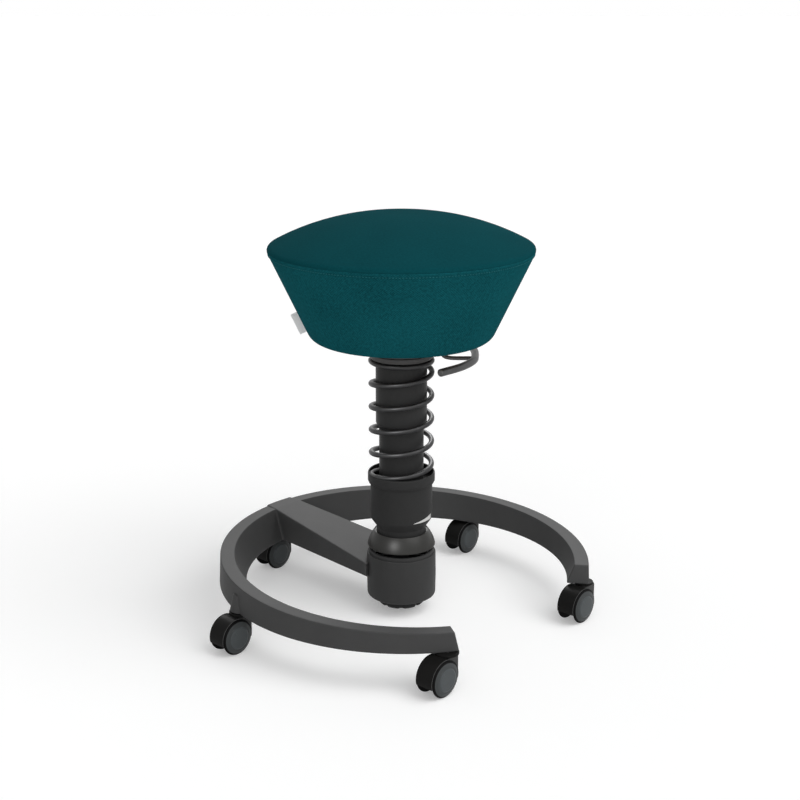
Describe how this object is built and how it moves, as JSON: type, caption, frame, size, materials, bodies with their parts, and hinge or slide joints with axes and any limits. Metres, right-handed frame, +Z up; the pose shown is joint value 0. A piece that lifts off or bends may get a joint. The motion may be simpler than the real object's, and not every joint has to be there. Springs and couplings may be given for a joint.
{
  "type": "spring balance stool",
  "caption": "Round padded stool on a gas lift that bounces on an open coil spring and tilts at its foot, carried by one arm on an open foot ring with castors.",
  "frame": {"origin": "on the floor under the middle of the stool's outline", "axes": "+Z up, +Y away from the picture's camera, +X to its right"},
  "size_m": [0.5438, 0.5667, 0.5824],
  "materials": {
    "frame_coat": "matte charcoal powder coat",
    "black_coat": "satin black coat",
    "spring_coat": "semi-gloss black coat on steel wire",
    "plain_steel": "plain turned steel",
    "bright_steel": "ground and polished rod",
    "black_plastic": "fine-grained black moulding",
    "satin_plastic": "satin black moulding",
    "pale_plastic": "natural bearing plastic",
    "castor_plastic": "semi-gloss black hood",
    "castor_wheel": "black tread with a dark grey disc",
    "rubber": "black rubber",
    "plywood": "plain plywood",
    "foam": "moulded foam",
    "seat_fabric": "dark petrol felted fabric",
    "tab_fabric": "bare light grey woven tab"
  },
  "bodies": {
    "base": {"foot_ring": "frame_coat", "support_arm": "frame_coat", "hub_housing": "frame_coat", "trunnion_ring": "plain_steel", "castor_arm_stem": "plain_steel", "castor_back_stem": "plain_steel", "castor_right_stem": "plain_steel", "castor_front_stem": "plain_steel", "castor_left_stem": "plain_steel"},
    "cross": {"tilt_cross": "plain_steel"},
    "column": {"column_yoke": "plain_steel", "tilt_cap": "satin_plastic", "column_tube": "black_coat", "spring_cup": "black_plastic", "coil_spring": "spring_coat", "guide_bush": "pale_plastic", "bump_stop": "rubber"},
    "sleeve": {"outer_sleeve": "black_plastic", "top_flange": "black_coat", "lift_stand_tube": "black_coat", "lift_guide_bush": "pale_plastic"},
    "rod": {"lift_rod": "bright_steel", "thrust_bearing": "plain_steel"},
    "seat": {"gas_cylinder": "black_coat", "seat_pan": "black_coat", "seat_board": "plywood", "seat_cushion": "foam", "seat_cover": "seat_fabric", "seat_bolt_1": "plain_steel", "seat_bolt_2": "plain_steel", "seat_bolt_3": "plain_steel", "side_tab": "tab_fabric", "lever_bracket": "plain_steel", "lever_pin": "plain_steel"},
    "lever": {"release_lever": "spring_coat"},
    "valve": {"valve_pin": "bright_steel"},
    "handwheel": {"tilt_handwheel": "black_plastic", "tilt_spindle": "plain_steel"},
    "preload": {"preload_plate": "plain_steel", "tilt_buffer": "rubber"},
    "castor_arm": {"castor_arm_hood": "castor_plastic", "castor_arm_axle": "plain_steel"},
    "castor_arm_wheel_a": {"castor_arm_wheel_a": "castor_wheel"},
    "castor_arm_wheel_b": {"castor_arm_wheel_b": "castor_wheel"},
    "castor_back": {"castor_back_hood": "castor_plastic", "castor_back_axle": "plain_steel"},
    "castor_back_wheel_a": {"castor_back_wheel_a": "castor_wheel"},
    "castor_back_wheel_b": {"castor_back_wheel_b": "castor_wheel"},
    "castor_right": {"castor_right_hood": "castor_plastic", "castor_right_axle": "plain_steel"},
    "castor_right_wheel_a": {"castor_right_wheel_a": "castor_wheel"},
    "castor_right_wheel_b": {"castor_right_wheel_b": "castor_wheel"},
    "castor_front": {"castor_front_hood": "castor_plastic", "castor_front_axle": "plain_steel"},
    "castor_front_wheel_a": {"castor_front_wheel_a": "castor_wheel"},
    "castor_front_wheel_b": {"castor_front_wheel_b": "castor_wheel"},
    "castor_left": {"castor_left_hood": "castor_plastic", "castor_left_axle": "plain_steel"},
    "castor_left_wheel_a": {"castor_left_wheel_a": "castor_wheel"},
    "castor_left_wheel_b": {"castor_left_wheel_b": "castor_wheel"}
  },
  "joints": [
    {"name": "tilt_fore_aft", "type": "hinge", "parent": "base", "child": "cross", "pos_m": [-0.008, 0.0193, 0.0775], "axis": [1, 0, 0], "range_deg": [-7.5, 7.5], "stiffness_Nm_per_rad": 300},
    {"name": "tilt_sideways", "type": "hinge", "parent": "cross", "child": "column", "pos_m": [-0.008, 0.0193, 0.0775], "axis": [0, 1, 0], "range_deg": [-7.5, 7.5], "stiffness_Nm_per_rad": 300},
    {"name": "bounce", "type": "slide", "parent": "column", "child": "sleeve", "axis": [0, 0, 1], "range_m": [-0.045, 0], "stiffness_N_per_m": 15000, "springref_m": 0.02, "deforming": ["coil_spring"]},
    {"name": "seat_swivel", "type": "hinge", "parent": "sleeve", "child": "rod", "pos_m": [-0.008, 0.0193, 0.1611], "axis": [0, 0, 1], "continuous": true},
    {"name": "seat_height", "type": "slide", "parent": "rod", "child": "seat", "axis": [0, 0, 1], "range_m": [0, 0.12]},
    {"name": "release", "type": "hinge", "parent": "seat", "child": "lever", "pos_m": [0.018, 0.0433, 0.39787], "axis": [0, -1, 0], "range_deg": [0, 6], "stiffness_Nm_per_rad": 2, "springref_deg": -14.32},
    {"name": "valve_press", "type": "slide", "parent": "seat", "child": "valve", "axis": [0, 0, -1], "range_m": [0, 0.003]},
    {"name": "handwheel_turn", "type": "hinge", "parent": "base", "child": "handwheel", "pos_m": [-0.008, 0.0193, 0.0163], "axis": [0, 0, 1], "range_deg": [-540, 0]},
    {"name": "preload_lift", "type": "slide", "parent": "base", "child": "preload", "axis": [0, 0, 1], "range_m": [-0.0031, 0]},
    {"name": "castor_arm_swivel", "type": "hinge", "parent": "base", "child": "castor_arm", "pos_m": [-0.19683, 0.18933, 0.0525], "axis": [0, 0, 1], "continuous": true},
    {"name": "castor_arm_wheel_a_roll", "type": "hinge", "parent": "castor_arm", "child": "castor_arm_wheel_a", "pos_m": [-0.20967, 0.17532, 0.025], "axis": [0.7373, -0.6756, 0], "continuous": true},
    {"name": "castor_arm_wheel_b_roll", "type": "hinge", "parent": "castor_arm", "child": "castor_arm_wheel_b", "pos_m": [-0.20967, 0.17532, 0.025], "axis": [0.7373, -0.6756, 0], "continuous": true},
    {"name": "castor_back_swivel", "type": "hinge", "parent": "base", "child": "castor_back", "pos_m": [0.10271, 0.253, 0.0525], "axis": [0, 0, 1], "continuous": true},
    {"name": "castor_back_wheel_a_roll", "type": "hinge", "parent": "castor_back", "child": "castor_back_wheel_a", "pos_m": [0.08987, 0.23899, 0.025], "axis": [0.7373, -0.6756, 0], "continuous": true},
    {"name": "castor_back_wheel_b_roll", "type": "hinge", "parent": "castor_back", "child": "castor_back_wheel_b", "pos_m": [0.08987, 0.23899, 0.025], "axis": [0.7373, -0.6756, 0], "continuous": true},
    {"name": "castor_right_swivel", "type": "hinge", "parent": "base", "child": "castor_right", "pos_m": [0.25583, -0.01221, 0.0525], "axis": [0, 0, 1], "continuous": true},
    {"name": "castor_right_wheel_a_roll", "type": "hinge", "parent": "castor_right", "child": "castor_right_wheel_a", "pos_m": [0.24299, -0.02622, 0.025], "axis": [0.7373, -0.6756, 0], "continuous": true},
    {"name": "castor_right_wheel_b_roll", "type": "hinge", "parent": "castor_right", "child": "castor_right_wheel_b", "pos_m": [0.24299, -0.02622, 0.025], "axis": [0.7373, -0.6756, 0], "continuous": true},
    {"name": "castor_front_swivel", "type": "hinge", "parent": "base", "child": "castor_front", "pos_m": [0.05092, -0.23979, 0.0525], "axis": [0, 0, 1], "continuous": true},
    {"name": "castor_front_wheel_a_roll", "type": "hinge", "parent": "castor_front", "child": "castor_front_wheel_a", "pos_m": [0.03808, -0.2538, 0.025], "axis": [0.7373, -0.6756, 0], "continuous": true},
    {"name": "castor_front_wheel_b_roll", "type": "hinge", "parent": "castor_front", "child": "castor_front_wheel_b", "pos_m": [0.03808, -0.2538, 0.025], "axis": [0.7373, -0.6756, 0], "continuous": true},
    {"name": "castor_left_swivel", "type": "hinge", "parent": "base", "child": "castor_left", "pos_m": [-0.22884, -0.11523, 0.0525], "axis": [0, 0, 1], "continuous": true},
    {"name": "castor_left_wheel_a_roll", "type": "hinge", "parent": "castor_left", "child": "castor_left_wheel_a", "pos_m": [-0.24168, -0.12924, 0.025], "axis": [0.7373, -0.6756, 0], "continuous": true},
    {"name": "castor_left_wheel_b_roll", "type": "hinge", "parent": "castor_left", "child": "castor_left_wheel_b", "pos_m": [-0.24168, -0.12924, 0.025], "axis": [0.7373, -0.6756, 0], "continuous": true}
  ],
  "couplings": [
    {"joint": "valve_press", "follows": "release", "m_per_rad": 0.026},
    {"joint": "preload_lift", "follows": "handwheel_turn", "m_per_rad": 0.000318}
  ]
}
